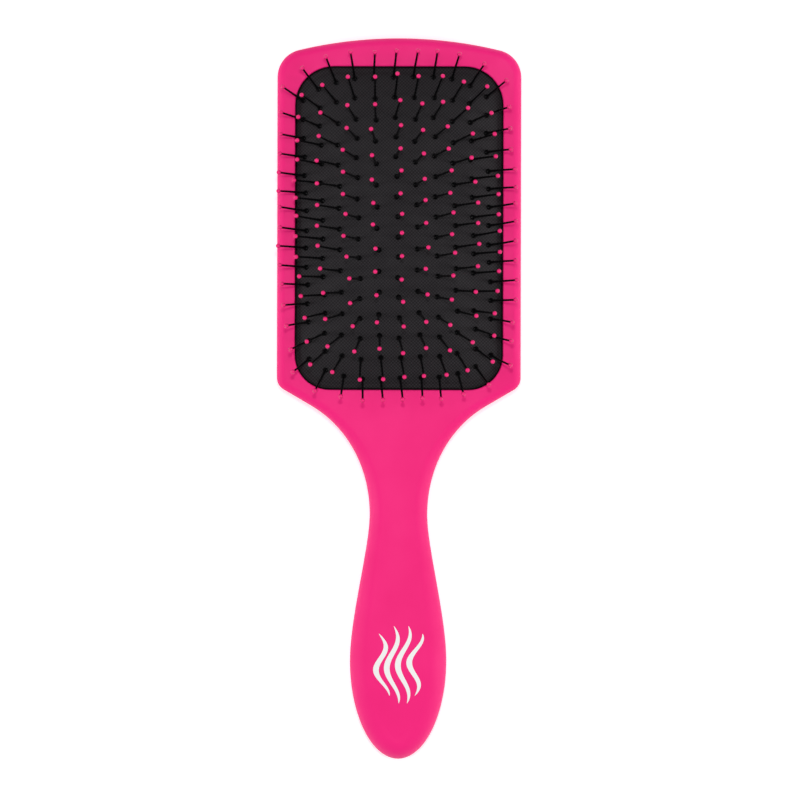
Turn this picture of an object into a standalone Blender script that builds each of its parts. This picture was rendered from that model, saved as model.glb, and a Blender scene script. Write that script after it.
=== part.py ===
"""Paddle hair brush: a hollow two-shell body, an air-cushion pad and rows of ball-tipped bristles.

The brush lies on its back. +Z is the way the bristles point, +Y runs from the handle to the head,
and the origin is under the middle of the whole length, on the flat back.
"""
import math
import random

import bmesh
import bpy
from mathutils import Vector

MM = 0.001

# Body, seen from the bristle side
HALF_LENGTH = 130 * MM
HEAD_HALF_WIDTH = 43.95 * MM
TOP_EDGE_RADIUS = 155 * MM
TOP_CORNER_RADIUS = 10 * MM
SHOULDER_CORNER = 4.7 * MM
SHOULDER_RADIUS = 5 * MM
SHOULDER_SLOPE = math.radians(30.4)
FLARE_START = 31.5 * MM
FLARE_PULL = (15 * MM, 17 * MM)
NECK_HALF_WIDTH = 10.4 * MM
NECK_Y = -41.7 * MM
SWELL_PULL = (12 * MM, 16 * MM)
GRIP_HALF_WIDTH = 17.4 * MM
GRIP_Y = -94.4 * MM

# Body, seen from the side
BODY_THICKNESS = 14 * MM
SEAM_Z = 7 * MM
GRIP_RISE = 1.2 * MM
GRIP_RISE_Y = (-44 * MM, -88 * MM)
BUTT_FALL = 2.4 * MM
BUTT_FALL_Y = (-96 * MM, -130 * MM)
WALL = 1.6 * MM
GAP = 0.3 * MM
HEAD_FRONT_ROUND = 3 * MM
HEAD_BACK_ROUND = 4 * MM
HANDLE_ROUND = 6 * MM
ROUND_CHANGE_Y = (8 * MM, -34 * MM)
ROUND_STEPS = 3

# Opening for the pad, and the pad
OPENING_CENTRE_Y = 61.5 * MM
OPENING_HALF = (37.5 * MM, 58.3 * MM)
OPENING_CORNERS = (12.5 * MM, 14 * MM)
PAD_THICKNESS = 1.5 * MM
PAD_EDGE_CLEARANCE = 0.6 * MM
FLANGE_REACH = 3.7 * MM
FLANGE_TOP = BODY_THICKNESS - WALL - GAP
FLANGE_BOTTOM = FLANGE_TOP - PAD_THICKNESS
DOME_HEIGHT = 12.5 * MM
DOME_HALF = (OPENING_HALF[0] - PAD_EDGE_CLEARANCE, OPENING_HALF[1] - PAD_EDGE_CLEARANCE)
DOME_POWER = (1.8, 2.6)
DOME_BLEND = (2.0, 4.0)
DOME_RINGS = 8
SEAT_RIB = (-0.3 * MM, 2.3 * MM)

# Bristles
COLUMNS = 11
LONG_COLUMN = 16
SHORT_COLUMN = 15
COLUMN_PITCH = 7.1 * MM
COLUMN_ARC_RADIUS = 53 * MM
FIELD_HALF_LENGTH = 54.2 * MM
FIELD_CORNER_TRIM = 13 * MM
FIELD_TURN = math.radians(1.4)
FIELD_SHIFT_X = -0.6 * MM
FIELD_JITTER = 0.3 * MM
FIELD_SEED = 11
BRISTLE_LENGTH = 20 * MM
BRISTLE_RADIUS = 0.4 * MM
BALL_RADIUS = 0.8 * MM
HEAD_HALF_SIZE = 0.8 * MM
HEAD_THICKNESS = 0.8 * MM
HEAD_GAP = 0.8 * MM
HOLE_HALF_SIZE = 0.7 * MM
ROUND_TO_SQUARE = 0.89
SEGMENTS = ("bottom", "middle", "top")

# Bristle lean: sideways run for each unit of a bristle's length
ACROSS_LEAN = 0.475
ACROSS_REACH = 30 * MM
ACROSS_POWER = 1.25
FADE_HALF_LENGTH = 55 * MM
FADE_WIDENING = 36 * MM
FADE_WIDENING_POWER = 2.5
FADE_CENTRE_Y = 2.9 * MM
FADE_POWER = 2.1
ALONG_LEAN = 0.49
ALONG_POWER = 1.9
ALONG_POWER_GAIN = 3
ALONG_SIDE_LOSS = 0.2
MOST_LEAN_AT_ENDS = (0.385, 0.45)
MIDDLE_LEAN = (0.08, 0.05)
MIDDLE_REACH = (20 * MM, 36 * MM)

# Locating pegs inside the handle
PEG_Y = (-34 * MM, -64 * MM, -94 * MM)
PEG_RADIUS = 1.5 * MM
PEG_TOP = 9 * MM
SOCKET_RADIUS = 3 * MM
SOCKET_BOTTOM = 5 * MM
SOCKET_CEILING = 11 * MM
PEG_SIDES = 12

PINK = (0.87, 0.03, 0.22, 1.0)
CHARCOAL = (0.022, 0.021, 0.023, 1.0)
BLACK = (0.006, 0.006, 0.007, 1.0)


def clear_scene():
    for obj in list(bpy.data.objects):
        bpy.data.objects.remove(obj, do_unlink=True)


def make_material(name, color, roughness):
    material = bpy.data.materials.new(name)
    material.use_nodes = True
    shader = material.node_tree.nodes["Principled BSDF"]
    shader.inputs["Base Color"].default_value = color
    shader.inputs["Roughness"].default_value = roughness
    shader.inputs["Metallic"].default_value = 0.0
    return material


def add_object(name, bm, material, origin=(0, 0, 0), sharp_angle=35):
    """Turn world-space geometry into an object whose origin is at the given point."""
    bmesh.ops.translate(bm, verts=bm.verts, vec=-Vector(origin))
    bmesh.ops.recalc_face_normals(bm, faces=bm.faces)
    mesh = bpy.data.meshes.new(name)
    bm.to_mesh(mesh)
    bm.free()
    mesh.materials.append(material)
    mesh.shade_smooth()
    mesh.set_sharp_from_angle(angle=math.radians(sharp_angle))
    obj = bpy.data.objects.new(name, mesh)
    obj.location = origin
    bpy.context.scene.collection.objects.link(obj)
    return obj


def combine(target, tool, operation):
    """Cut or join with a Boolean, and keep the tool as a hidden wire guide."""
    tool.hide_render = True
    tool.display_type = "WIRE"
    modifier = target.modifiers.new(f"{operation}_{tool.name}", "BOOLEAN")
    modifier.operation = operation
    modifier.solver = "EXACT"
    modifier.object = tool


def attach(child, parent):
    """Parent without moving the child; the parent has no turn or scale."""
    child.parent = parent
    child.location = child.location - parent.location


# Outlines

def arc(centre, radius, start, end, steps):
    """Points of a circular arc, leaving out the last one."""
    turns = [start + (end - start) * i / steps for i in range(steps)]
    return [(centre[0] + radius * math.cos(t), centre[1] + radius * math.sin(t)) for t in turns]


def bezier(p0, p1, p2, p3, steps):
    """Points of a cubic curve, leaving out the last one."""
    points = []
    for i in range(steps):
        t = i / steps
        weights = ((1 - t) ** 3, 3 * (1 - t) ** 2 * t, 3 * (1 - t) * t ** 2, t ** 3)
        points.append(tuple(sum(w * p[a] for w, p in zip(weights, (p0, p1, p2, p3))) for a in (0, 1)))
    return points


def right_half_outline(detail):
    """From the middle of the head's top edge round to the butt of the handle."""
    top_centre_y = HALF_LENGTH - TOP_EDGE_RADIUS
    corner_x = HEAD_HALF_WIDTH - TOP_CORNER_RADIUS
    reach = TOP_EDGE_RADIUS - TOP_CORNER_RADIUS
    turn = math.acos(corner_x / reach)
    corner = (corner_x, top_centre_y + reach * math.sin(turn))
    bend = math.pi / 2 - SHOULDER_SLOPE
    shoulder = (
        HEAD_HALF_WIDTH - SHOULDER_RADIUS,
        SHOULDER_CORNER + SHOULDER_RADIUS * math.tan(bend / 2),
    )
    inward = (-math.cos(SHOULDER_SLOPE), -math.sin(SHOULDER_SLOPE))
    drop = (HEAD_HALF_WIDTH - FLARE_START) * math.tan(SHOULDER_SLOPE)
    flare = (FLARE_START, SHOULDER_CORNER - drop)
    flare_guide = tuple(flare[a] + inward[a] * FLARE_PULL[0] for a in (0, 1))
    neck = (NECK_HALF_WIDTH, NECK_Y)
    grip = (GRIP_HALF_WIDTH, GRIP_Y)
    points = arc((0, top_centre_y), TOP_EDGE_RADIUS, math.pi / 2, turn, 4 * detail)
    points += arc(corner, TOP_CORNER_RADIUS, turn, 0, 4 * detail)
    points += arc(shoulder, SHOULDER_RADIUS, 0, -bend, 3 * detail)
    tangent_x = shoulder[0] + SHOULDER_RADIUS * math.cos(bend)
    tangent_y = shoulder[1] - SHOULDER_RADIUS * math.sin(bend)
    points.append((tangent_x, tangent_y))
    points += bezier(flare, flare_guide, (neck[0], neck[1] + FLARE_PULL[1]), neck, 6 * detail)
    points += bezier(neck, (neck[0], neck[1] - SWELL_PULL[0]),
                     (grip[0], grip[1] + SWELL_PULL[1]), grip, 4 * detail)
    butt_length = HALF_LENGTH + GRIP_Y
    for i in range(6 * detail + 1):
        t = math.pi / 2 * i / (6 * detail)
        points.append((GRIP_HALF_WIDTH * math.cos(t), GRIP_Y - butt_length * math.sin(t)))
    points[-1] = (0.0, -HALF_LENGTH)
    return points


def full_outline(detail):
    """The closed outline, clockwise from the middle of the top edge."""
    right = right_half_outline(detail)
    left = [(-x, y) for x, y in reversed(right[1:-1])]
    return right + left


def inward_normals(points):
    """For each point, the mitred step that moves both its edges in by one unit."""
    normals = []
    count = len(points)
    for i in range(count):
        before = Vector(points[i]) - Vector(points[i - 1])
        after = Vector(points[(i + 1) % count]) - Vector(points[i])
        sides = [Vector((edge.y, -edge.x)).normalized() for edge in (before, after)]
        middle = (sides[0] + sides[1]).normalized()
        normals.append(middle / middle.dot(sides[0]))
    return normals


def pad_outline(grow, side_steps=(8, 5), corner_steps=5):
    """The opening's outline, grown outward: anticlockwise, with points along the straight sides too."""
    half_x = OPENING_HALF[0] + grow
    half_y = OPENING_HALF[1] + grow
    low, high = [corner + grow for corner in OPENING_CORNERS]
    corners = []
    for sx, sy, radius in ((1, -1, low), (1, 1, high), (-1, 1, high), (-1, -1, low)):
        corners.append((sx * (half_x - radius), OPENING_CENTRE_Y + sy * (half_y - radius), radius))
    points = []
    for i, (cx, cy, radius) in enumerate(corners):
        start = (i - 1) * math.pi / 2
        turn = start + math.pi / 2
        points += arc((cx, cy), radius, start, turn, corner_steps)
        end = (cx + radius * math.cos(turn), cy + radius * math.sin(turn))
        next_x, next_y, next_radius = corners[(i + 1) % 4]
        stop = (next_x + next_radius * math.cos(turn), next_y + next_radius * math.sin(turn))
        steps = side_steps[i % 2]
        points += [tuple(end[a] + (stop[a] - end[a]) * k / steps for a in (0, 1)) for k in range(steps)]
    return points


# Solid builders

def skin_rings(bm, rings):
    """Bridge a list of equal rings of points, one to the next."""
    loops = [[bm.verts.new(p) for p in ring] for ring in rings]
    for low, high in zip(loops, loops[1:]):
        count = len(low)
        for i in range(count):
            k = (i + 1) % count
            bm.faces.new((low[i], low[k], high[k], high[i]))
    return loops


def prism(bm, outline, z_low, z_high):
    loops = skin_rings(bm, [[(x, y, z) for x, y in outline] for z in (z_low, z_high)])
    bm.faces.new(loops[0])
    bm.faces.new(loops[-1])


def turned(bm, profile, centre):
    """A solid of revolution about a vertical line; the profile starts and ends near the axis."""
    rings = []
    for radius, z in profile:
        ring = []
        for i in range(PEG_SIDES):
            t = 2 * math.pi * i / PEG_SIDES
            ring.append((centre[0] + radius * math.cos(t), centre[1] + radius * math.sin(t), z))
        rings.append(ring)
    loops = skin_rings(bm, rings)
    bm.faces.new(loops[0])
    bm.faces.new(loops[-1])


# Body shells

def ease(value, start, end):
    """0 at start, 1 at end, with a smooth run between."""
    t = min(max((value - start) / (end - start), 0.0), 1.0)
    return t * t * (3 - 2 * t)


def front_face(y):
    """Height of the bristle side: level over the head, fuller at the grip, lower at the butt."""
    return BODY_THICKNESS + GRIP_RISE * ease(y, *GRIP_RISE_Y) - BUTT_FALL * ease(y, *BUTT_FALL_Y)


def back_face(y):
    """The back is flat from end to end, so the brush lies still on it."""
    return 0.0


def shell_rings(outline, normals, head_round, wall, face, seam_z):
    """Rings from the seam, round the edge and in to the face, at a depth of wall under the skin."""
    out = 1 if face(0) > seam_z else -1
    rings = [[] for step in range(ROUND_STEPS + 2)]
    for (x, y), normal in zip(outline, normals):
        radius = head_round + (HANDLE_ROUND - head_round) * ease(y, *ROUND_CHANGE_Y)
        inset = normal * wall
        rings[0].append((x + inset.x, y + inset.y, seam_z))
        for step in range(ROUND_STEPS + 1):
            t = math.pi / 2 * step / ROUND_STEPS
            inset = normal * (radius - (radius - wall) * math.cos(t))
            z = face(y) - out * (radius - (radius - wall) * math.sin(t))
            rings[step + 1].append((x + inset.x, y + inset.y, z))
    return rings


def close_across(bm, loop):
    """Close a symmetric loop with strips from its right side to its left side."""
    count = len(loop)
    bm.faces.new((loop[0], loop[1], loop[-1]))
    for i in range(1, count // 2 - 1):
        bm.faces.new((loop[i], loop[i + 1], loop[count - i - 1], loop[count - i]))
    middle = count // 2
    bm.faces.new((loop[middle - 1], loop[middle], loop[middle + 1]))


def build_shell(name, material, head_round, face, seam_z):
    outline = full_outline(1)
    normals = inward_normals(outline)
    bm = bmesh.new()
    outer = shell_rings(outline, normals, head_round, 0.0, face, seam_z)
    inner = shell_rings(outline, normals, head_round, WALL, face, seam_z)
    loops = skin_rings(bm, list(reversed(outer)) + inner)
    close_across(bm, loops[0])
    close_across(bm, loops[-1])
    return add_object(name, bm, material)


def build_front_shell(material):
    """Bristle-side shell: a flat rim round the pad's opening, running down into the handle."""
    shell = build_shell("front_shell", material, HEAD_FRONT_ROUND, front_face, SEAM_Z + GAP / 2)
    sockets = bmesh.new()
    bore = PEG_RADIUS + GAP
    for y in PEG_Y:
        root = front_face(y) - WALL / 2
        turned(sockets, [(bore, SOCKET_CEILING), (bore, SOCKET_BOTTOM),
                         (SOCKET_RADIUS, SOCKET_BOTTOM), (SOCKET_RADIUS, root)], (0, y))
    combine(shell, add_object("peg_sockets_form", sockets, material), "UNION")
    opening = bmesh.new()
    prism(opening, pad_outline(0.0), FLANGE_TOP - GAP, BODY_THICKNESS + WALL)
    combine(shell, add_object("opening_cutter", opening, material), "DIFFERENCE")
    return shell


def build_back_shell(material):
    """Back shell: a flat tub with the rib that clamps the pad, and the locating pegs."""
    shell = build_shell("back_shell", material, HEAD_BACK_ROUND, back_face, SEAM_Z - GAP / 2)
    rib = bmesh.new()
    inner = pad_outline(SEAT_RIB[0])
    outer = pad_outline(SEAT_RIB[1])
    top = FLANGE_BOTTOM - GAP
    bottom = WALL / 2
    corners = ((inner, bottom), (inner, top), (outer, top), (outer, bottom))
    rings = [[(x, y, z) for x, y in line] for line, z in corners]
    skin_rings(rib, rings + rings[:1])
    bmesh.ops.remove_doubles(rib, verts=rib.verts, dist=0.01 * MM)
    combine(shell, add_object("pad_seat_rib_form", rib, material), "UNION")
    pegs = bmesh.new()
    for y in PEG_Y:
        turned(pegs, [(PEG_RADIUS, WALL / 2), (PEG_RADIUS, PEG_TOP - GAP),
                      (PEG_RADIUS - GAP, PEG_TOP)], (0, y))
    combine(shell, add_object("pegs_form", pegs, material), "UNION")
    return shell


# Pad

def dome_height(x, y):
    """Height of the pad's skin over its edge, at a place given from the middle of the opening."""
    across = abs(x / DOME_HALF[0]) ** DOME_POWER[0]
    along = abs(y / DOME_HALF[1]) ** DOME_POWER[1]
    middle_blend, edge_blend = DOME_BLEND
    outness = (across ** edge_blend + along ** edge_blend) ** (1 / edge_blend)
    blend = middle_blend + (edge_blend - middle_blend) * min(outness, 1)
    return DOME_HEIGHT * max(0.0, 1 - (across ** blend + along ** blend) ** (1 / blend))


def dome_point(x, y):
    return Vector((x, y + OPENING_CENTRE_Y, FLANGE_TOP + dome_height(x, y)))


def dome_normal(x, y):
    step = 0.1 * MM
    slope_x = (dome_height(x + step, y) - dome_height(x - step, y)) / (2 * step)
    slope_y = (dome_height(x, y + step) - dome_height(x, y - step)) / (2 * step)
    return Vector((-slope_x, -slope_y, 1)).normalized()


def build_pad(material):
    """Rubber pad: a domed skin with a flat flange that the two shells clamp."""
    flange = pad_outline(FLANGE_REACH)
    edge = pad_outline(-PAD_EDGE_CLEARANCE)
    inner_edge = pad_outline(-PAD_EDGE_CLEARANCE - PAD_THICKNESS)
    shares = [math.sin(math.pi / 2 * i / DOME_RINGS) for i in range(DOME_RINGS - 1, 0, -1)]
    top = [[(x, y, FLANGE_TOP) for x, y in line] for line in (flange, edge)]
    bottom = [[(x, y, FLANGE_BOTTOM) for x, y in line] for line in (flange, inner_edge)]
    for share in shares:
        places = [(x * share, (y - OPENING_CENTRE_Y) * share) for x, y in edge]
        top.append([tuple(dome_point(x, y)) for x, y in places])
        bottom.append([tuple(dome_point(x, y) - dome_normal(x, y) * PAD_THICKNESS) for x, y in places])
    bm = bmesh.new()
    loops = skin_rings(bm, list(reversed(top)) + bottom)
    crown = dome_point(0, 0)
    for loop, centre in ((loops[0], crown), (loops[-1], crown - Vector((0, 0, PAD_THICKNESS)))):
        hub = bm.verts.new(centre)
        for i, vert in enumerate(loop):
            bm.faces.new((hub, vert, loop[(i + 1) % len(loop)]))
    return add_object("cushion_pad", bm, material, (0, OPENING_CENTRE_Y, FLANGE_TOP))


# Bristles

def bristle_places(column, rng):
    """Where one column's bristles stand, from the middle of the opening, handle end first."""
    offset = column - (COLUMNS - 1) / 2
    x = COLUMN_ARC_RADIUS * math.sin(offset * COLUMN_PITCH / COLUMN_ARC_RADIUS)
    share = abs(x / OPENING_HALF[0])
    half_length = FIELD_HALF_LENGTH - FIELD_CORNER_TRIM * share ** 4
    count = LONG_COLUMN if column % 2 else SHORT_COLUMN
    places = []
    for i in range(count):
        y = -half_length + 2 * half_length * i / (count - 1)
        px = x + rng.uniform(-FIELD_JITTER, FIELD_JITTER)
        py = y + rng.uniform(-FIELD_JITTER, FIELD_JITTER)
        turned_x = FIELD_SHIFT_X + px * math.cos(FIELD_TURN) - py * math.sin(FIELD_TURN)
        turned_y = px * math.sin(FIELD_TURN) + py * math.cos(FIELD_TURN)
        places.append((turned_x, turned_y))
    return places


def split_column(places):
    """The lower, middle and upper thirds of a column; an odd one goes to the middle."""
    third = len(places) // 3
    return places[:third], places[third:len(places) - third], places[len(places) - third:]


def bristle_lean(x, y):
    """How far a bristle leans each way: outward, and at the pad's ends more along than across."""
    x -= FIELD_SHIFT_X
    side = abs(x) / OPENING_HALF[0]
    across = ACROSS_LEAN * math.sin(math.pi / 2 * min(abs(x) / ACROSS_REACH, 1) ** ACROSS_POWER)
    fade_length = FADE_HALF_LENGTH + FADE_WIDENING * side ** FADE_WIDENING_POWER
    across *= max(0, 1 - (abs(y - FADE_CENTRE_Y) / fade_length) ** FADE_POWER)
    power = ALONG_POWER + ALONG_POWER_GAIN * side ** 3
    along = ALONG_LEAN * (1 - ALONG_SIDE_LOSS * side ** 2) * (abs(y) / FIELD_HALF_LENGTH) ** power
    lean = Vector((math.copysign(across, x), math.copysign(along, y)))
    for axis, place in enumerate((x, y)):
        lean[axis] += MIDDLE_LEAN[axis] * max(0, 1 - abs(place) / MIDDLE_REACH[axis])
    end_limit = MOST_LEAN_AT_ENDS[0] if y < 0 else MOST_LEAN_AT_ENDS[1]
    limit = ACROSS_LEAN + (end_limit - ACROSS_LEAN) * (y / FIELD_HALF_LENGTH) ** 2
    return lean * min(1, limit / lean.length)


def bristle_frame(x, y):
    """The bristle's direction, and two directions across it."""
    lean = bristle_lean(x, y)
    up = Vector((lean.x, lean.y, math.sqrt(1 - lean.length_squared)))
    across = (Vector((1, 0, 0)) - up * up.x).normalized()
    return up, across, up.cross(across)


def square(centre, across, along, half):
    corners = ((1, 1), (-1, 1), (-1, -1), (1, -1))
    return [centre + across * (sx * half) + along * (sy * half) for sx, sy in corners]


def raise_bristle(bm, head, base, up, across, along):
    """Grow one bristle from its head: a square-cut shank and a ball at its end."""
    shank = BRISTLE_RADIUS * ROUND_TO_SQUARE
    ball = BALL_RADIUS * ROUND_TO_SQUARE
    stations = [
        (base - up * (PAD_THICKNESS + HEAD_GAP), shank),
        (base + up * (BRISTLE_LENGTH - BALL_RADIUS), shank),
        (base + up * BRISTLE_LENGTH, ball),
        (base + up * (BRISTLE_LENGTH + BALL_RADIUS), ball / 2),
    ]
    loop = head
    for centre, half in stations:
        ring = [bm.verts.new(p) for p in square(centre, across, along, half)]
        for i in range(4):
            k = (i + 1) % 4
            bm.faces.new((loop[i], loop[k], ring[k], ring[i]))
        loop = ring
    bm.faces.new(loop)


def build_bristle_segment(name, places, material):
    """One strip of bristle heads under the pad, with a bristle standing on each."""
    bm = bmesh.new()
    last = None
    for x, y in places:
        up, across, along = bristle_frame(x, y)
        base = dome_point(x, y)
        head_top = base - up * (PAD_THICKNESS + HEAD_GAP)
        head_low = head_top - up * HEAD_THICKNESS
        top = [bm.verts.new(p) for p in square(head_top, across, along, HEAD_HALF_SIZE)]
        low = [bm.verts.new(p) for p in square(head_low, across, along, HEAD_HALF_SIZE)]
        bm.faces.new(low)
        for i, k in ((0, 3), (1, 2)):
            bm.faces.new((top[i], top[k], low[k], low[i]))
        raise_bristle(bm, top, base, up, across, along)
        start = (top[2], top[3], low[3], low[2])
        if last is None:
            bm.faces.new(start)
        else:
            for i in range(4):
                k = (i + 1) % 4
                bm.faces.new((last[i], last[k], start[k], start[i]))
        last = (top[1], top[0], low[0], low[1])
    bm.faces.new(last)
    return add_object(name, bm, material, hinge_point(places), sharp_angle=50)


def hinge_point(places):
    """Half-way through the pad's thickness, midway between the segment's end bristles."""
    ends = []
    for x, y in (places[0], places[-1]):
        up, _, _ = bristle_frame(x, y)
        ends.append(dome_point(x, y) - up * (PAD_THICKNESS / 2))
    return (ends[0] + ends[1]) / 2


def cut_bristle_holes(pad, all_places, material):
    """A clearance hole through the pad for each bristle."""
    bm = bmesh.new()
    for x, y in all_places:
        up, across, along = bristle_frame(x, y)
        base = dome_point(x, y)
        ends = (base - up * (2 * PAD_THICKNESS), base + up * PAD_THICKNESS)
        loops = skin_rings(bm, [square(end, across, along, HOLE_HALF_SIZE) for end in ends])
        bm.faces.new(loops[0])
        bm.faces.new(loops[-1])
    combine(pad, add_object("bristle_hole_cutter", bm, material), "DIFFERENCE")


def main():
    clear_scene()
    soft_touch = make_material("soft_touch_plastic", PINK, 0.5)
    rubber = make_material("pad_rubber", CHARCOAL, 0.7)
    nylon = make_material("bristle_nylon", BLACK, 0.35)
    build_front_shell(soft_touch)
    build_back_shell(soft_touch)
    pad = build_pad(rubber)
    travel = bpy.data.objects.new("pad_travel_axis", None)
    travel.location = pad.location
    bpy.context.scene.collection.objects.link(travel)
    attach(pad, travel)
    rng = random.Random(FIELD_SEED)
    all_places = []
    for column in range(COLUMNS):
        places = bristle_places(column, rng)
        all_places += places
        for label, segment in zip(SEGMENTS, split_column(places)):
            name = f"bristle_row_{column + 1:02d}_{label}"
            attach(build_bristle_segment(name, segment, nylon), travel)
    cut_bristle_holes(pad, all_places, rubber)


main()
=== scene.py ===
"""Looks for the paddle brush: finely rounded shells, a moulded rubber pad, round bristles with
ball tips and a plain studio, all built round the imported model.

Everything is in metres, in the model's own frame. The brush lies on its back, +Z is the way the
bristles point and +Y runs from the handle to the head. Measures that the frame doesn't hold repeat
the CAD source.
"""

import math
import random

import bmesh
import bpy
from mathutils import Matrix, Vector
from mathutils.bvhtree import BVHTree


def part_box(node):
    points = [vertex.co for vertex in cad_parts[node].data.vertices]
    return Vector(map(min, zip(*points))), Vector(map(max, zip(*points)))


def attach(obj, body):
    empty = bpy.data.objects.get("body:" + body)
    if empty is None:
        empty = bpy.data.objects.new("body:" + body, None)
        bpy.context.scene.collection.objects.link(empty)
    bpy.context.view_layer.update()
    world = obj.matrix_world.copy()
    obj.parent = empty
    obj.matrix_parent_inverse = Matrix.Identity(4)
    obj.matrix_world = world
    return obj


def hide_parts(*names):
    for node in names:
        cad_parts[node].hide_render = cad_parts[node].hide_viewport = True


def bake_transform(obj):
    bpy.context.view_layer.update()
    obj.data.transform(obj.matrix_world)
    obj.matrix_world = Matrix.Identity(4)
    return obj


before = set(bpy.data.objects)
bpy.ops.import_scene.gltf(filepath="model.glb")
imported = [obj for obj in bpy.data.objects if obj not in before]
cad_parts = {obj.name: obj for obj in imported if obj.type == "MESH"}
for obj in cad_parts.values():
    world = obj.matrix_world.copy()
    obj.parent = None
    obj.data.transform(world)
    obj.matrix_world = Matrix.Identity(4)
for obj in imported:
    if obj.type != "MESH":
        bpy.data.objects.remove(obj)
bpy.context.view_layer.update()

MM = 0.001

# Body outline, seen from the bristle side
FRONT_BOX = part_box("front_shell")
HALF_LENGTH = FRONT_BOX[1].y
HEAD_HALF_WIDTH = FRONT_BOX[1].x
TOP_EDGE_RADIUS = 155 * MM
TOP_CORNER_RADIUS = 10 * MM
SHOULDER_CORNER = 4.7 * MM
SHOULDER_RADIUS = 5 * MM
SHOULDER_SLOPE = math.radians(30.4)
FLARE_START = 31.5 * MM
FLARE_PULL = (15 * MM, 17 * MM)
NECK_HALF_WIDTH = 10.4 * MM
NECK_Y = -41.7 * MM
SWELL_PULL = (12 * MM, 16 * MM)
GRIP_HALF_WIDTH = 17.4 * MM
GRIP_Y = -94.4 * MM
TOP_EDGE_STEPS = 30
TOP_CORNER_STEPS = 20
SIDE_STEPS = 25
SHOULDER_STEPS = 15
SLOPE_STEPS = 5
FLARE_STEPS = 35
SWELL_STEPS = 35
BUTT_STEPS = 40

# Body section: triples are for the head, the neck and the grip
BODY_THICKNESS = 14 * MM
GAP = 0.3 * MM
SEAM_Z = FRONT_BOX[0].z - GAP / 2
SEAM_HALF_GAP = 0.04 * MM
SEAM_CHAMFER = 0.16 * MM
GRIP_RISE = 1.2 * MM
GRIP_RISE_Y = (-44 * MM, -88 * MM)
BUTT_FALL = 2.4 * MM
BUTT_FALL_Y = (-96 * MM, -130 * MM)
WALL = 1.6 * MM
HEAD_TO_NECK_Y = (8 * MM, -34 * MM)
NECK_TO_GRIP_Y = (-44 * MM, -90 * MM)
FRONT_ROLL_WIDTH = (3 * MM, 5 * MM, 7.2 * MM)
FRONT_ROLL_DEPTH = (3 * MM, 5.5 * MM, 6.6 * MM)
BACK_ROLL_WIDTH = (4 * MM, 5.5 * MM, 7.2 * MM)
BACK_ROLL_DEPTH = (4 * MM, 5.5 * MM, 6.4 * MM)
ROLL_STEPS = 12
INNER_STEPS = 3
CROWN = 0.55 * MM
CROWN_Y = (-14 * MM, -62 * MM)
CROWN_FULL_WIDTH = 14 * MM
CAP_COLUMNS = 14
SHARP_DEGREES = 35

# Opening, and the pad's skin. An outline's steps are for its long and short sides and its corners.
PAD_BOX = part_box("cushion_pad")
PAD_THICKNESS = 1.5 * MM
PAD_EDGE_CLEARANCE = 0.6 * MM
FLANGE_REACH = 3.7 * MM
OPENING_CENTRE_Y = (PAD_BOX[0].y + PAD_BOX[1].y) / 2
OPENING_HALF = (PAD_BOX[1].x - FLANGE_REACH, PAD_BOX[1].y - OPENING_CENTRE_Y - FLANGE_REACH)
OPENING_CORNERS = (12.5 * MM, 14 * MM)
LIP_STEPS = 5
LIP_RADIUS = 0.45 * MM
LIP_OUTLINE_STEPS = ((12, 8), 12)
FACE_WEIGHT = 80
FLANGE_BOTTOM = PAD_BOX[0].z
FLANGE_TOP = FLANGE_BOTTOM + PAD_THICKNESS
DOME_HEIGHT = PAD_BOX[1].z - FLANGE_TOP
DOME_HALF = (OPENING_HALF[0] - PAD_EDGE_CLEARANCE, OPENING_HALF[1] - PAD_EDGE_CLEARANCE)
DOME_POWER = (1.8, 2.6)
DOME_BLEND = (2.0, 4.0)
SKIN_OUTLINE_STEPS = ((56, 36), 14)
SKIN_RINGS = 64
SKIN_INNER_RINGS = 12
SKIN_SHARP_DEGREES = 50
STEP_DISTANCE = (1.1 * MM, 1.5 * MM)
STEP_HEIGHT = 0.22 * MM
# The groove beside the lip: how far each line is grown from the opening, and how deep it lies
GROOVE = ((0, 0), (-0.02 * MM, 1.2 * MM), (-0.55 * MM, 1.2 * MM))
# Heights across which the rubber darkens to painted shade, down into the groove
GROOVE_SHADE_Z = (FLANGE_TOP - 0.5 * MM, FLANGE_TOP + 0.2 * MM)
PIMPLE_PITCH = 1.2 * MM

# Bristles
COLUMNS = 11
LONG_COLUMN = 16
SHORT_COLUMN = 15
COLUMN_PITCH = 7.1 * MM
COLUMN_ARC_RADIUS = 53 * MM
FIELD_HALF_LENGTH = 54.2 * MM
FIELD_CORNER_TRIM = 13 * MM
FIELD_TRIM_POWER = 4
FIELD_TURN = math.radians(1.4)
FIELD_SHIFT_X = -0.6 * MM
FIELD_JITTER = 0.3 * MM
FIELD_SEED = 11
SEGMENTS = ("bottom", "middle", "top")
BRISTLE_LENGTH = 20 * MM
BALL_RADIUS = 0.8 * MM
BOW = 0.45 * MM
BOW_SEED = 23
BRISTLE_SIDES = 12
BALL_SIDES = 20
BALL_RINGS = 14
BRISTLE_SHARP_DEGREES = 40
BALL_SHARP_DEGREES = 60
# Radius and height over the pad's skin, in millimetres: buried head, stem, collar, tapering shank
BRISTLE_PROFILE = (
    (0.90, -3.00), (0.90, -2.40), (0.50, -2.20), (0.50, 0.00), (1.00, 0.02), (0.99, 0.22), (0.88, 0.50),
    (0.64, 0.74), (0.50, 1.15), (0.45, 3.00), (0.41, 7.50), (0.38, 12.0), (0.36, 16.0), (0.35, 19.5),
)

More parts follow.
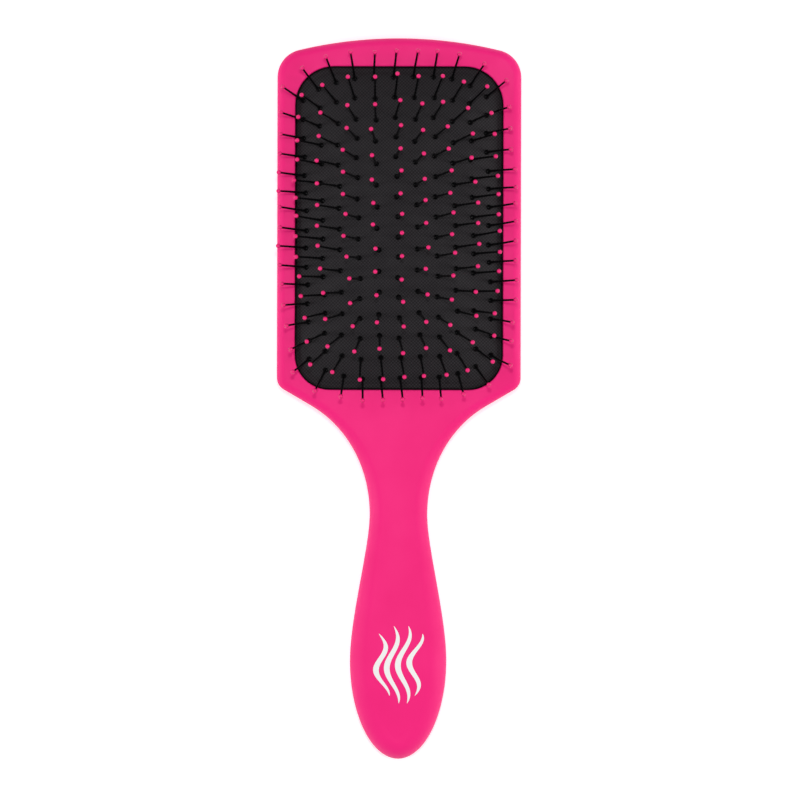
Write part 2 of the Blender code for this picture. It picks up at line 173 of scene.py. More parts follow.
# Bristle lean: sideways run for each unit of a bristle's length. Pairs are for x and y, or for the
# handle end and the far end.
ACROSS_LEAN = 0.475
ACROSS_REACH = 30 * MM
ACROSS_POWER = 1.25
FADE_HALF_LENGTH = 55 * MM
FADE_WIDENING = 36 * MM
FADE_WIDENING_POWER = 2.5
FADE_CENTRE_Y = 2.9 * MM
FADE_POWER = 2.1
ALONG_LEAN = 0.49
ALONG_POWER = 1.9
ALONG_POWER_GAIN = 3
ALONG_GAIN_POWER = 3
ALONG_SIDE_LOSS = 0.2
MOST_LEAN_AT_ENDS = (0.385, 0.45)
MIDDLE_LEAN = (0.08, 0.05)
MIDDLE_REACH = (20 * MM, 36 * MM)

# Printed motif: wavy tapering strands along the grip
MOTIF_Y = (-80.5 * MM, -111 * MM)
MOTIF_STRANDS = 4
MOTIF_PITCH = 4.6 * MM
MOTIF_WAVE = 2.1 * MM
MOTIF_WAVES = 1.25
MOTIF_PHASE_STEP = 0.06
MOTIF_NARROWING = 0.25
MOTIF_OUTER_SHORTENING = 0.09
MOTIF_HALF_WIDTH = 1.05 * MM
MOTIF_TAPER_POWER = 0.6
MOTIF_BLUNT_END = 0.004
MOTIF_STEPS = 60
INK_THICKNESS = 0.04 * MM

# Colours, linear
WHITE = (1.0, 1.0, 1.0, 1.0)
PINK = (0.92, 0.017, 0.210, 1.0)
PINK_DEEP = (0.88, 0.014, 0.192, 1.0)
TIP_PINK = (0.86, 0.024, 0.19, 1.0)
# Painted shade: the ball tips' colour down their sides, away from the light above
TIP_PINK_PAINTED_SHADE = (0.42, 0.004, 0.06, 1.0)
CHARCOAL = (0.034, 0.031, 0.035, 1.0)
# Painted shade: the pad rubber's colour in the groove beside the lip and between its pimples
CHARCOAL_PAINTED_SHADE = (0.0025, 0.0015, 0.002, 1.0)
BLACK = (0.0015, 0.0015, 0.002, 1.0)
INK_WHITE = (0.86, 0.86, 0.85, 1.0)
FLOOR_WHITE = (0.86, 0.86, 0.86, 1.0)

# Camera and light
FLOOR_GAP = 0.2 * MM
FLOOR_HALF_SIZE = 3.0
FLOOR_SQUARES = 8
FLOOR_GLOW = 0.42
WORLD_STRENGTH = 0.34
LIGHT_TARGET = (0, 0.02, 0)
# Name, place, width and height, and power in watts
LIGHTS = (
    ("overhead", (0, 0.05, 1.9), (1.0, 1.0), 9.0),
    ("key", (0, 0.16, 1.45), (0.03, 0.03), 3.8),
    ("side_left", (-1.2, -0.15, 0.5), (0.4, 1.4), 6.5),
    ("side_right", (1.2, -0.15, 0.5), (0.4, 1.4), 7.5),
)
CAMERA_HEIGHT = 3.0
CAMERA_OFFSET = (0.47 * MM, -0.43 * MM)
CAMERA_ROLL = math.radians(0.13)
CAMERA_LENS = 373


# Small tools

def ease(value, start, end):
    """0 at start, 1 at end, with a smooth run between."""
    t = min(max((value - start) / (end - start), 0.0), 1.0)
    return t * t * (3 - 2 * t)


def along_body(y, values):
    """A measure that has one value at the head, one at the neck and one at the grip."""
    head, neck, grip = values
    middle = head + (neck - head) * ease(y, *HEAD_TO_NECK_Y)
    return middle + (grip - neck) * ease(y, *NECK_TO_GRIP_Y)


def arc(centre, radius, start, end, steps):
    """Points of a circular arc, leaving out the last one."""
    turns = [start + (end - start) * i / steps for i in range(steps)]
    return [(centre[0] + radius * math.cos(t), centre[1] + radius * math.sin(t)) for t in turns]


def straight(start, end, steps):
    """Points along a straight line, leaving out the last one."""
    return [tuple(a + (b - a) * k / steps for a, b in zip(start, end)) for k in range(steps)]


def bezier(p0, p1, p2, p3, steps):
    """Points of a cubic curve, leaving out the last one."""
    points = []
    for i in range(steps):
        t = i / steps
        weights = ((1 - t) ** 3, 3 * (1 - t) ** 2 * t, 3 * (1 - t) * t ** 2, t ** 3)
        pulls = list(zip(weights, (p0, p1, p2, p3)))
        points.append(tuple(sum(weight * p[a] for weight, p in pulls) for a in (0, 1)))
    return points


def skin_rings(bm, rings):
    """Bridge a list of equal rings of points, one to the next."""
    loops = [[bm.verts.new(p) for p in ring] for ring in rings]
    for low, high in zip(loops, loops[1:]):
        count = len(low)
        for i in range(count):
            k = (i + 1) % count
            bm.faces.new((low[i], low[k], high[k], high[i]))
    return loops


def close_fan(bm, loop, centre):
    """Close a loop with triangles that meet at one point."""
    hub = bm.verts.new(centre)
    for i, vert in enumerate(loop):
        bm.faces.new((hub, vert, loop[(i + 1) % len(loop)]))


def make_piece(name, bm, material, sharp_degrees=SHARP_DEGREES):
    """Turn a form into a smooth-shaded object that keeps its sharper edges crisp."""
    bmesh.ops.recalc_face_normals(bm, faces=bm.faces)
    mesh = bpy.data.meshes.new(name)
    bm.to_mesh(mesh)
    bm.free()
    mesh.materials.append(material)
    mesh.shade_smooth()
    mesh.set_sharp_from_angle(angle=math.radians(sharp_degrees))
    obj = bpy.data.objects.new(name, mesh)
    bpy.context.scene.collection.objects.link(obj)
    return obj


# Materials

class Shader:
    """A Principled material with short ways to add and join its nodes."""

    def __init__(self, name, color, roughness, **sockets):
        self.material = bpy.data.materials.new(name)
        self.material.use_nodes = True
        self.tree = self.material.node_tree
        self.principled = self.tree.nodes["Principled BSDF"]
        self.set("Base Color", color)
        self.set("Roughness", roughness)
        for socket, value in sockets.items():
            self.set(socket.replace("_", " "), value)
        self.place = self.add("ShaderNodeTexCoord").outputs["Object"]

    def set(self, socket, value):
        self.principled.inputs[socket].default_value = value

    def add(self, kind, inputs=None, **settings):
        made = self.tree.nodes.new(kind)
        for key, value in settings.items():
            setattr(made, key, value)
        for key, value in (inputs or {}).items():
            if isinstance(value, bpy.types.NodeSocket):
                self.tree.links.new(value, made.inputs[key])
            else:
                made.inputs[key].default_value = value
        return made

    def link(self, output, socket):
        self.tree.links.new(output, self.principled.inputs[socket])

    def noise(self, size, detail):
        """Noise whose features are about the given size, in metres."""
        inputs = {"Vector": self.place, "Scale": 1 / size, "Detail": detail}
        return self.add("ShaderNodeTexNoise", inputs).outputs["Fac"]

    def spread(self, value, low, high, start=0.3, end=0.7):
        """Map a run from start to end, by default that of a noise, onto one from low to high."""
        inputs = {"Value": value, "From Min": start, "From Max": end, "To Min": low, "To Max": high}
        return self.add("ShaderNodeMapRange", inputs).outputs["Result"]

    def math(self, operation, a, b=0.0):
        return self.add("ShaderNodeMath", {0: a, 1: b}, operation=operation).outputs[0]

    def mix(self, factor, a, b):
        """One colour where the factor is 0, the other where it is 1."""
        inputs = {"Factor": factor, "A": a, "B": b}
        return self.add("ShaderNodeMix", inputs, data_type="RGBA").outputs["Result"]

    def bump(self, height, distance, strength, under=None):
        inputs = {"Height": height, "Distance": distance, "Strength": strength}
        if under is not None:
            inputs["Normal"] = under
        return self.add("ShaderNodeBump", inputs).outputs["Normal"]


def soft_touch_material():
    """Matt rubberised coating: a very fine grain over faint, broad clouds."""
    shader = Shader("soft_touch_pink", PINK, roughness=0.5, Specular_IOR_Level=0.19)
    clouds = shader.noise(size=22 * MM, detail=3.0)
    grain = shader.noise(size=0.35 * MM, detail=2.0)
    orange_peel = shader.noise(size=2.6 * MM, detail=1.0)
    shade = shader.spread(clouds, low=0.0, high=1.0)
    shader.link(shader.mix(shade, PINK, PINK_DEEP), "Base Color")
    shader.link(shader.spread(clouds, low=0.46, high=0.56), "Roughness")
    broad = shader.bump(orange_peel, distance=0.03 * MM, strength=0.5)
    shader.link(shader.bump(grain, distance=0.012 * MM, strength=0.6, under=broad), "Normal")
    return shader.material


def rubber_material():
    """Charcoal rubber with moulded pimples, set in diagonal lines, and painted shade between the
    pimples and in the groove beside the lip.
    """
    shader = Shader("pad_rubber", CHARCOAL, roughness=0.7, Specular_IOR_Level=0.2)
    parts = shader.add("ShaderNodeSeparateXYZ", {"Vector": shader.place}).outputs
    waves = []
    for axis in ("X", "Y"):
        turns = shader.math("MULTIPLY", parts[axis], 2 * math.pi / PIMPLE_PITCH)
        waves.append(shader.math("SINE", turns))
    pimples = shader.math("MULTIPLY", *waves)
    heights = shader.spread(pimples, low=0.0, high=1.0, start=-0.5, end=1.0)
    dust = shader.noise(size=9 * MM, detail=4.0)
    grain = shader.noise(size=0.3 * MM, detail=2.0)
    # Painted shade in the groove beside the lip: the rubber darkens below these heights
    groove_start, groove_end = GROOVE_SHADE_Z
    over_groove = shader.spread(parts["Z"], low=0.0, high=1.0, start=groove_start, end=groove_end)
    # Painted shade in the hollows between the pimples, darkest where the bumps are lowest
    between_pimples = shader.spread(heights, low=0.2, high=1.0, start=0.0, end=1.0)
    shade = shader.math("MULTIPLY", between_pimples, over_groove)
    shader.link(shader.mix(shade, CHARCOAL_PAINTED_SHADE, CHARCOAL), "Base Color")
    shader.link(shader.spread(dust, low=0.6, high=0.8), "Roughness")
    moulded = shader.bump(heights, distance=0.12 * MM, strength=0.7)
    shader.link(shader.bump(grain, distance=0.02 * MM, strength=0.4, under=moulded), "Normal")
    return shader.material


def nylon_material():
    """Black moulded nylon, fairly glossy and very slightly uneven."""
    shader = Shader("bristle_nylon", BLACK, roughness=0.28, Specular_IOR_Level=0.2)
    marks = shader.noise(size=0.5 * MM, detail=2.0)
    shader.link(shader.spread(marks, low=0.22, high=0.36), "Roughness")
    shader.link(shader.bump(marks, distance=0.01 * MM, strength=0.4), "Normal")
    return shader.material


def tip_material():
    """Pink bead of dipped resin, with painted shade: lightest where it faces up and darker down its
    sides.
    """
    shader = Shader("bristle_tip", TIP_PINK, roughness=0.3, Specular_IOR_Level=0.15)
    normal = shader.add("ShaderNodeNewGeometry").outputs["Normal"]
    upward = shader.add("ShaderNodeSeparateXYZ", {"Vector": normal}).outputs["Z"]
    flow = shader.noise(size=0.8 * MM, detail=1.0)
    # Painted shade: the colour darkens as the bead's surface turns away from the light above
    facing_up = shader.math("ADD", upward, shader.spread(flow, low=-0.08, high=0.08))
    shade = shader.spread(facing_up, low=0.0, high=1.0, start=0.1, end=0.8)
    shader.link(shader.mix(shade, TIP_PINK_PAINTED_SHADE, TIP_PINK), "Base Color")
    shader.link(shader.spread(flow, low=0.24, high=0.34), "Roughness")
    shader.link(shader.bump(flow, distance=0.02 * MM, strength=0.3), "Normal")
    return shader.material


def ink_material():
    """Screen-printed white ink, slightly uneven."""
    shader = Shader("printed_ink", INK_WHITE, roughness=0.45, Specular_IOR_Level=0.3)
    screen = shader.noise(size=0.25 * MM, detail=2.0)
    shader.link(shader.spread(screen, low=0.38, high=0.52), "Roughness")
    shader.link(shader.bump(screen, distance=0.01 * MM, strength=0.5), "Normal")
    return shader.material


def floor_material():
    """Matt white with a faint glow, which keeps it white up to the brush's shadow."""
    shader = Shader("pale_floor", FLOOR_WHITE, roughness=0.8, Specular_IOR_Level=0.1,
                    Emission_Color=WHITE, Emission_Strength=FLOOR_GLOW)
    clouds = shader.noise(size=60 * MM, detail=3.0)
    shader.link(shader.spread(clouds, low=0.76, high=0.84), "Roughness")
    return shader.material


# Outlines

def right_half_outline():
    """From the middle of the head's top edge round to the butt of the handle."""
    top_centre_y = HALF_LENGTH - TOP_EDGE_RADIUS
    corner_x = HEAD_HALF_WIDTH - TOP_CORNER_RADIUS
    reach = TOP_EDGE_RADIUS - TOP_CORNER_RADIUS
    turn = math.acos(corner_x / reach)
    corner = (corner_x, top_centre_y + reach * math.sin(turn))
    bend = math.pi / 2 - SHOULDER_SLOPE
    shoulder = (HEAD_HALF_WIDTH - SHOULDER_RADIUS,
                SHOULDER_CORNER + SHOULDER_RADIUS * math.tan(bend / 2))
    inward = (-math.cos(SHOULDER_SLOPE), -math.sin(SHOULDER_SLOPE))
    shoulder_end = (shoulder[0] + SHOULDER_RADIUS * math.cos(bend),
                    shoulder[1] - SHOULDER_RADIUS * math.sin(bend))
    flare = (FLARE_START,
             SHOULDER_CORNER - (HEAD_HALF_WIDTH - FLARE_START) * math.tan(SHOULDER_SLOPE))
    flare_guide = tuple(flare[a] + inward[a] * FLARE_PULL[0] for a in (0, 1))
    neck = (NECK_HALF_WIDTH, NECK_Y)
    neck_guide = (neck[0], neck[1] + FLARE_PULL[1])
    grip = (GRIP_HALF_WIDTH, GRIP_Y)
    swell_guides = ((neck[0], neck[1] - SWELL_PULL[0]), (grip[0], grip[1] + SWELL_PULL[1]))
    points = arc((0, top_centre_y), TOP_EDGE_RADIUS, math.pi / 2, turn, TOP_EDGE_STEPS)
    points += arc(corner, TOP_CORNER_RADIUS, turn, 0, TOP_CORNER_STEPS)
    points += straight((HEAD_HALF_WIDTH, corner[1]), (HEAD_HALF_WIDTH, shoulder[1]), SIDE_STEPS)
    points += arc(shoulder, SHOULDER_RADIUS, 0, -bend, SHOULDER_STEPS)
    points += straight(shoulder_end, flare, SLOPE_STEPS)
    points += bezier(flare, flare_guide, neck_guide, neck, FLARE_STEPS)
    points += bezier(neck, *swell_guides, grip, SWELL_STEPS)
    for i in range(BUTT_STEPS):
        t = math.pi / 2 * i / BUTT_STEPS
        points.append((grip[0] * math.cos(t), grip[1] - (HALF_LENGTH + grip[1]) * math.sin(t)))
    points.append((0.0, -HALF_LENGTH))
    return points


def full_outline():
    """The closed outline, clockwise from the middle of the top edge."""
    right = right_half_outline()
    left = [(-x, y) for x, y in reversed(right[1:-1])]
    return right + left


def inward_normals(points):
    """For each point, the mitred step that moves both its edges in by one unit."""
    normals = []
    count = len(points)
    for i in range(count):
        before = Vector(points[i]) - Vector(points[i - 1])
        after = Vector(points[(i + 1) % count]) - Vector(points[i])
        sides = [Vector((edge.y, -edge.x)).normalized() for edge in (before, after)]
        middle = (sides[0] + sides[1]).normalized()
        normals.append(middle / middle.dot(sides[0]))
    return normals


def pad_outline(grow, side_steps, corner_steps):
    """The opening's outline, grown outward: anticlockwise, from the start of the right low corner."""
    half_x = OPENING_HALF[0] + grow
    half_y = OPENING_HALF[1] + grow
    low, high = [corner + grow for corner in OPENING_CORNERS]
    corners = []
    for sx, sy, radius in ((1, -1, low), (1, 1, high), (-1, 1, high), (-1, -1, low)):
        corners.append((sx * (half_x - radius), OPENING_CENTRE_Y + sy * (half_y - radius), radius))
    points = []
    for i, (cx, cy, radius) in enumerate(corners):
        start = (i - 1) * math.pi / 2
        turn = start + math.pi / 2
        points += arc((cx, cy), radius, start, turn, corner_steps)
        end = (cx + radius * math.cos(turn), cy + radius * math.sin(turn))
        next_x, next_y, next_radius = corners[(i + 1) % 4]
        stop = (next_x + next_radius * math.cos(turn), next_y + next_radius * math.sin(turn))
        points += straight(end, stop, side_steps[i % 2])
    return points


# Shells

def front_face(y):
    """Height of the bristle side: level over the head, fuller at the grip, lower at the butt."""
    return BODY_THICKNESS + GRIP_RISE * ease(y, *GRIP_RISE_Y) - BUTT_FALL * ease(y, *BUTT_FALL_Y)


def back_face(y):
    """The back is flat from end to end."""
    return 0.0


def edge_rings(outline, normals, face, out, widths, depths, wall, steps):
    """Rings from the seam's edge, round the rolled edge and in to the face, wall under the skin."""
    rings = [[] for step in range(steps + 1)]
    seam_edge = SEAM_HALF_GAP + SEAM_CHAMFER
    for (x, y), normal in zip(outline, normals):
        width = along_body(y, widths)
        room = abs(face(y) - SEAM_Z) - seam_edge
        depth = min(along_body(y, depths), room)
        for step in range(steps + 1):
            t = math.pi / 2 * step / steps
            inset = normal * (width - (width - wall) * math.cos(t))
            z = face(y) - out * (depth - (depth - wall) * math.sin(t))
            rings[step].append((x + inset.x, y + inset.y, z))
    return rings


def seam_ring(outline, normals, out, inset, height):
    """A ring beside the seam, set in from the outline."""
    z = SEAM_Z + out * height
    return [(x + n.x * inset, y + n.y * inset, z) for (x, y), n in zip(outline, normals)]


def close_across(bm, loop, columns, crown):
    """Close a symmetric loop with a grid from its right side to its left, crowned in the middle."""
    count = len(loop)
    middle = count // 2
    rows = []
    for i in range(1, middle):
        right = loop[i].co
        left = loop[count - i].co
        width = right.x - left.x
        rise = crown * ease(right.y, *CROWN_Y) * ease(width, 0, CROWN_FULL_WIDTH)
        row = [loop[i]]
        for k in range(1, columns):
            share = 2 * k / columns - 1
            point = right.lerp(left, k / columns)
            row.append(bm.verts.new((point.x, point.y, point.z + rise * (1 - share * share))))
        row.append(loop[count - i])
        rows.append(row)
    for above, below in zip(rows, rows[1:]):
        for k in range(columns):
            bm.faces.new((above[k], below[k], below[k + 1], above[k + 1]))
    for row, end in ((rows[0], loop[0]), (rows[-1], loop[middle])):
        for k in range(columns):
            bm.faces.new((row[k], row[k + 1], end))


def build_shell(name, material, face, out, widths, depths, crown):
    """One hollow half of the body, with a chamfered edge at the seam; out is +1 for the front."""
    outline = full_outline()
    normals = inward_normals(outline)
    outer = edge_rings(outline, normals, face, out, widths, depths, 0.0, ROLL_STEPS)
    inner = edge_rings(outline, normals, face, out, widths, depths, WALL, INNER_STEPS)
    seam = [
        seam_ring(outline, normals, out, WALL, SEAM_HALF_GAP),
        seam_ring(outline, normals, out, SEAM_CHAMFER, SEAM_HALF_GAP),
        seam_ring(outline, normals, out, 0.0, SEAM_HALF_GAP + SEAM_CHAMFER),
    ]
    bm = bmesh.new()
    loops = skin_rings(bm, list(reversed(inner)) + seam + outer)
    close_across(bm, loops[0], CAP_COLUMNS, 0.0)
    close_across(bm, loops[-1], CAP_COLUMNS, out * crown)
    return make_piece(name, bm, material)


def cut_opening(shell):
    """Cut the pad's opening with a form that flares at the top, which leaves a rounded lip."""
    heights = [(0.0, FLANGE_TOP)]
    for step in range(LIP_STEPS + 1):
        t = math.pi / 2 * step / LIP_STEPS
        grow = LIP_RADIUS * (1 - math.cos(t))
        heights.append((grow, BODY_THICKNESS - LIP_RADIUS * (1 - math.sin(t))))
    heights.append((LIP_RADIUS, BODY_THICKNESS + WALL))
    bm = bmesh.new()
    rings = [[(x, y, z) for x, y in pad_outline(grow, *LIP_OUTLINE_STEPS)] for grow, z in heights]
    loops = skin_rings(bm, rings)
    bm.faces.new(loops[0])
    bm.faces.new(loops[-1])
    cutter = make_piece("opening_form", bm, shell.data.materials[0])
    apply_modifier(shell, "BOOLEAN", object=cutter, operation="DIFFERENCE", solver="EXACT")
    bpy.data.objects.remove(cutter)
    shell.data.set_sharp_from_angle(angle=math.radians(SHARP_DEGREES))
    apply_modifier(shell, "WEIGHTED_NORMAL", keep_sharp=True, weight=FACE_WEIGHT)


def apply_modifier(obj, kind, **settings):
    """Add a modifier and fix its result in the mesh."""
    modifier = obj.modifiers.new(kind.lower(), kind)
    for key, value in settings.items():
        setattr(modifier, key, value)
    graph = bpy.context.evaluated_depsgraph_get()
    mesh = bpy.data.meshes.new_from_object(obj.evaluated_get(graph))
    obj.modifiers.clear()
    old = obj.data
    obj.data = mesh
    bpy.data.meshes.remove(old)


def build_shells(material):
    """Both halves of the body; the front one is given back, for the print on it."""
    front = build_shell("front_shell_fine", material, front_face, 1,
                        FRONT_ROLL_WIDTH, FRONT_ROLL_DEPTH, CROWN)
    cut_opening(front)
    back = build_shell("back_shell_fine", material, back_face, -1,
                       BACK_ROLL_WIDTH, BACK_ROLL_DEPTH, 0.0)
    for shell, node in ((front, "front_shell"), (back, "back_shell")):
        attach(shell, "body")
        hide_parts(node)
    return front


# Pad

def dome_height(x, y):
    """Height of the pad's skin over its edge, at a place given from the middle of the opening."""
    across = abs(x / DOME_HALF[0]) ** DOME_POWER[0]
    along = abs(y / DOME_HALF[1]) ** DOME_POWER[1]
    middle_blend, edge_blend = DOME_BLEND
    outness = (across ** edge_blend + along ** edge_blend) ** (1 / edge_blend)
    blend = middle_blend + (edge_blend - middle_blend) * min(outness, 1)
    return DOME_HEIGHT * max(0.0, 1 - (across ** blend + along ** blend) ** (1 / blend))


def dome_point(x, y):
    """A place on the pad's skin, given from the middle of the opening."""
    return Vector((x, y + OPENING_CENTRE_Y, FLANGE_TOP + dome_height(x, y)))


def falling_shares(count):
    """Ring sizes from just inside 1 down towards 0, closest together at the outside."""
    return [math.sin(math.pi / 2 * i / count) for i in range(count - 1, 0, -1)]


def build_pad_skin(material):
    """The rubber skin: flange, a groove beside the lip, a plain border, a fine step up to the
    pimpled panel, and its underside."""
    flange = pad_outline(FLANGE_REACH, *SKIN_OUTLINE_STEPS)
    edge = pad_outline(-PAD_EDGE_CLEARANCE, *SKIN_OUTLINE_STEPS)
    top = [[(x, y, FLANGE_TOP) for x, y in flange]]
    for grow, depth in GROOVE:
        line = pad_outline(grow, *SKIN_OUTLINE_STEPS)
        top.append([(x, y, FLANGE_TOP - depth) for x, y in line])
    top.append([(x, y, FLANGE_TOP) for x, y in edge])
    for share in falling_shares(SKIN_RINGS):
        ring = []
        for x, y in edge:
            place = Vector((x, y - OPENING_CENTRE_Y))
            point = dome_point(*(place * share))
            distance = (1 - share) * min(DOME_HALF)
            border = 1 - ease(distance, *STEP_DISTANCE)
            point.z -= STEP_HEIGHT * border * ease(distance, 0, STEP_DISTANCE[0])
            ring.append(tuple(point))
        top.append(ring)
    bottom = [[(x, y, FLANGE_BOTTOM) for x, y in line] for line in (flange, edge)]
    inset = 1 - PAD_THICKNESS / DOME_HALF[0]
    for share in falling_shares(SKIN_INNER_RINGS):
        ring = []
        for x, y in edge:
            place = Vector((x, y - OPENING_CENTRE_Y)) * share * inset
            ring.append(tuple(dome_point(*place) - Vector((0, 0, PAD_THICKNESS))))
        bottom.append(ring)
    bm = bmesh.new()
    loops = skin_rings(bm, list(reversed(top)) + bottom)
    crown = dome_point(0, 0)
    close_fan(bm, loops[0], crown)
    close_fan(bm, loops[-1], crown - Vector((0, 0, PAD_THICKNESS)))
    skin = make_piece("cushion_pad_skin", bm, material, SKIN_SHARP_DEGREES)
    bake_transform(skin)
    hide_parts("cushion_pad")


# Bristles

def bristle_places(column, rng):
    """Where one column's bristles stand, from the middle of the opening, handle end first."""
    offset = column - (COLUMNS - 1) / 2
    x = COLUMN_ARC_RADIUS * math.sin(offset * COLUMN_PITCH / COLUMN_ARC_RADIUS)
    share = abs(x / OPENING_HALF[0])
    half_length = FIELD_HALF_LENGTH - FIELD_CORNER_TRIM * share ** FIELD_TRIM_POWER
    count = LONG_COLUMN if column % 2 else SHORT_COLUMN
    places = []
    for i in range(count):
        y = -half_length + 2 * half_length * i / (count - 1)
        px = x + rng.uniform(-FIELD_JITTER, FIELD_JITTER)
        py = y + rng.uniform(-FIELD_JITTER, FIELD_JITTER)
        turned_x = FIELD_SHIFT_X + px * math.cos(FIELD_TURN) - py * math.sin(FIELD_TURN)
        turned_y = px * math.sin(FIELD_TURN) + py * math.cos(FIELD_TURN)
        places.append((turned_x, turned_y))
    return places


def split_column(places):
    """The lower, middle and upper thirds of a column; an odd one goes to the middle."""
    third = len(places) // 3
    return places[:third], places[third:len(places) - third], places[len(places) - third:]


def bristle_lean(x, y):
    """How far a bristle leans each way: outward, and at the pad's ends more along than across."""
    x -= FIELD_SHIFT_X
    side = abs(x) / OPENING_HALF[0]
    across = ACROSS_LEAN * math.sin(math.pi / 2 * min(abs(x) / ACROSS_REACH, 1) ** ACROSS_POWER)
    fade_length = FADE_HALF_LENGTH + FADE_WIDENING * side ** FADE_WIDENING_POWER
    across *= max(0, 1 - (abs(y - FADE_CENTRE_Y) / fade_length) ** FADE_POWER)
    power = ALONG_POWER + ALONG_POWER_GAIN * side ** ALONG_GAIN_POWER
    along = ALONG_LEAN * (1 - ALONG_SIDE_LOSS * side ** 2) * (abs(y) / FIELD_HALF_LENGTH) ** power
    lean = Vector((math.copysign(across, x), math.copysign(along, y)))
    for axis, place in enumerate((x, y)):
        lean[axis] += MIDDLE_LEAN[axis] * max(0, 1 - abs(place) / MIDDLE_REACH[axis])
    end_limit = MOST_LEAN_AT_ENDS[0] if y < 0 else MOST_LEAN_AT_ENDS[1]
    limit = ACROSS_LEAN + (end_limit - ACROSS_LEAN) * (y / FIELD_HALF_LENGTH) ** 2
    return lean * min(1, limit / lean.length)


def bristle_frame(x, y):
    """The bristle's direction, and two directions across it."""
    lean = bristle_lean(x, y)
    up = Vector((lean.x, lean.y, math.sqrt(1 - lean.length_squared)))
    across = (Vector((1, 0, 0)) - up * up.x).normalized()
    return up, across, up.cross(across)


def lathe(bm, centres, radii, across, along, sides):
    """A closed round solid with one ring at each centre."""
    rings = []
    for centre, radius in zip(centres, radii):
        turns = [2 * math.pi * i / sides for i in range(sides)]
        rings.append([centre + (across * math.cos(t) + along * math.sin(t)) * radius for t in turns])
    loops = skin_rings(bm, rings)
    bm.faces.new(loops[0])
    bm.faces.new(loops[-1])


def bristle_point(base, up, bow, height):
    """A point on a bristle's centre line: straight at the root, bowed slightly towards the tip."""
    share = max(height, 0.0) / BRISTLE_LENGTH
    return base + up * height + bow * share * share


def build_bristle_strip(label, places, rng, nylon, resin):
    """One strip's bristles and their ball tips, two pieces that rock together."""
    shanks = bmesh.new()
    balls = bmesh.new()
    for x, y in places:
        up, across, along = bristle_frame(x, y)
        base = dome_point(x, y)
        bow = (across * rng.uniform(-1, 1) + along * rng.uniform(-1, 1)) * BOW
        centres = [bristle_point(base, up, bow, height * MM) for radius, height in BRISTLE_PROFILE]
        radii = [radius * MM for radius, height in BRISTLE_PROFILE]
        lathe(shanks, centres, radii, across, along, BRISTLE_SIDES)
        tip = bristle_point(base, up, bow, BRISTLE_LENGTH)
        turns = [math.pi * (i + 0.5) / BALL_RINGS for i in range(BALL_RINGS)]
        centres = [tip - up * BALL_RADIUS * math.cos(t) for t in turns]
        radii = [BALL_RADIUS * math.sin(t) for t in turns]
        lathe(balls, centres, radii, across, along, BALL_SIDES)
    strip = make_piece(f"bristles_{label}", shanks, nylon, BRISTLE_SHARP_DEGREES)
    tips = make_piece(f"ball_tips_{label}", balls, resin, BALL_SHARP_DEGREES)
    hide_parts(f"bristle_row_{label}")
    for piece, slot in ((strip, "bristle_nylon"), (tips, "bristle_tip")):
        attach(piece, f"row_{label}")


def build_bristles(nylon, resin):
    """All the strips, three to a column, with one run of random draws for places and one for bows."""
    places_rng = random.Random(FIELD_SEED)
    bow_rng = random.Random(BOW_SEED)
    for column in range(COLUMNS):
        places = bristle_places(column, places_rng)
        for segment, strip in zip(SEGMENTS, split_column(places)):
            build_bristle_strip(f"{column + 1:02d}_{segment}", strip, bow_rng, nylon, resin)


# Printed motif

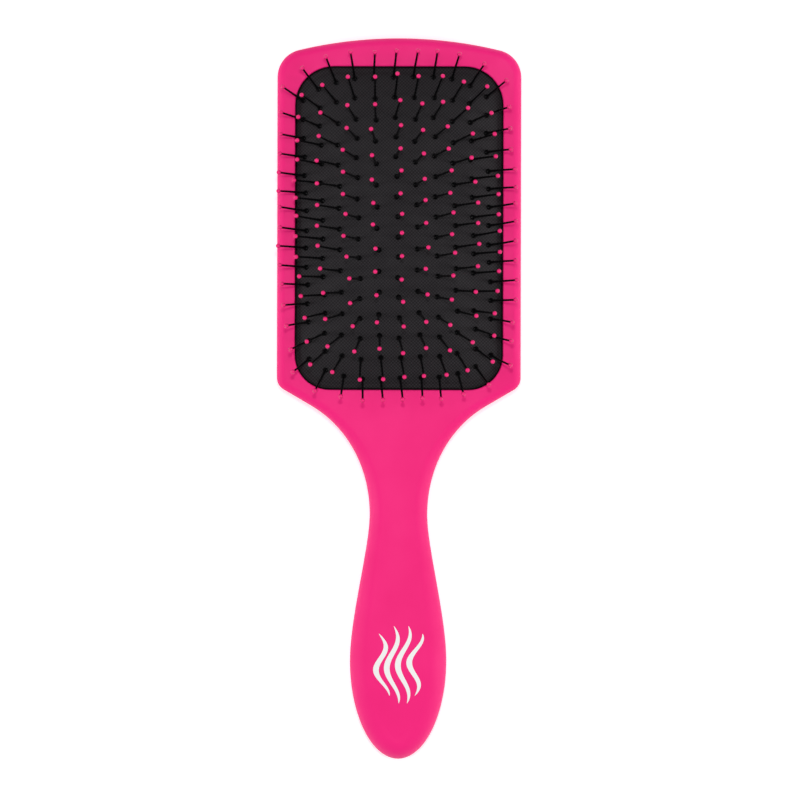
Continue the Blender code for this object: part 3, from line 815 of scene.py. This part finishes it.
def build_motif(shell, material):
    """Wavy tapering strands, printed on the grip and following its surface."""
    surface = BVHTree.FromObject(shell, bpy.context.evaluated_depsgraph_get())
    down = Vector((0, 0, -1))
    lift = Vector((0, 0, INK_THICKNESS))
    start, end = MOTIF_Y
    bm = bmesh.new()
    for strand in range(MOTIF_STRANDS):
        offset = strand - (MOTIF_STRANDS - 1) / 2
        middle = offset * MOTIF_PITCH
        shift = MOTIF_OUTER_SHORTENING * abs(offset)
        rings = []
        for step in range(MOTIF_STEPS + 1):
            t = step / MOTIF_STEPS
            y = start + (end - start) * (shift + (1 - 2 * shift) * t)
            turns = MOTIF_WAVES * t + MOTIF_PHASE_STEP * strand
            x = middle * (1 - MOTIF_NARROWING * t) + MOTIF_WAVE * math.sin(2 * math.pi * turns)
            taper = math.sin(math.pi * min(max(t, MOTIF_BLUNT_END), 1 - MOTIF_BLUNT_END))
            half = MOTIF_HALF_WIDTH * taper ** MOTIF_TAPER_POWER
            row = []
            for side in (-half, -half / 3, half / 3, half):
                above = Vector((x + side, y, 2 * BODY_THICKNESS))
                row.append(surface.ray_cast(above, down)[0])
            rings.append([p + lift for p in row] + [p - lift for p in reversed(row)])
        loops = skin_rings(bm, rings)
        bm.faces.new(loops[0])
        bm.faces.new(loops[-1])
    motif = make_piece("printed_strands", bm, material)
    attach(motif, "body")


# Studio

def add_area(name, location, size, power):
    """A soft light, aimed at the brush. The overhead one leaves no reflection."""
    data = bpy.data.lights.new(name, "AREA")
    data.shape = "RECTANGLE"
    data.size, data.size_y = size
    data.energy = power
    light = bpy.data.objects.new(name, data)
    light.location = location
    light.visible_camera = False
    light.visible_glossy = name != "overhead"
    direction = Vector(LIGHT_TARGET) - light.location
    light.rotation_euler = direction.to_track_quat("-Z", "Y").to_euler()
    bpy.context.scene.collection.objects.link(light)


def build_studio():
    """White surroundings, four soft lights and a floor just under the brush."""
    world = bpy.data.worlds.new("studio")
    world.use_nodes = True
    background = world.node_tree.nodes["Background"]
    background.inputs["Color"].default_value = WHITE
    background.inputs["Strength"].default_value = WORLD_STRENGTH
    bpy.context.scene.world = world
    for light in LIGHTS:
        add_area(*light)
    bm = bmesh.new()
    squares = FLOOR_SQUARES
    bmesh.ops.create_grid(bm, x_segments=squares, y_segments=squares, size=FLOOR_HALF_SIZE)
    floor = make_piece("floor", bm, floor_material())
    floor.location.z = -FLOOR_GAP


def build_camera():
    """Straight above the brush, looking down, with the head at the top of the picture."""
    data = bpy.data.cameras.new("camera")
    data.lens = CAMERA_LENS
    camera = bpy.data.objects.new("camera", data)
    camera.location = (*CAMERA_OFFSET, CAMERA_HEIGHT)
    camera.rotation_euler = (0, 0, CAMERA_ROLL)
    bpy.context.scene.collection.objects.link(camera)
    bpy.context.scene.camera = camera
    bpy.context.scene.view_settings.view_transform = "Standard"


build_camera()
build_studio()
front = build_shells(soft_touch_material())
build_motif(front, ink_material())
build_pad_skin(rubber_material())
build_bristles(nylon_material(), tip_material())
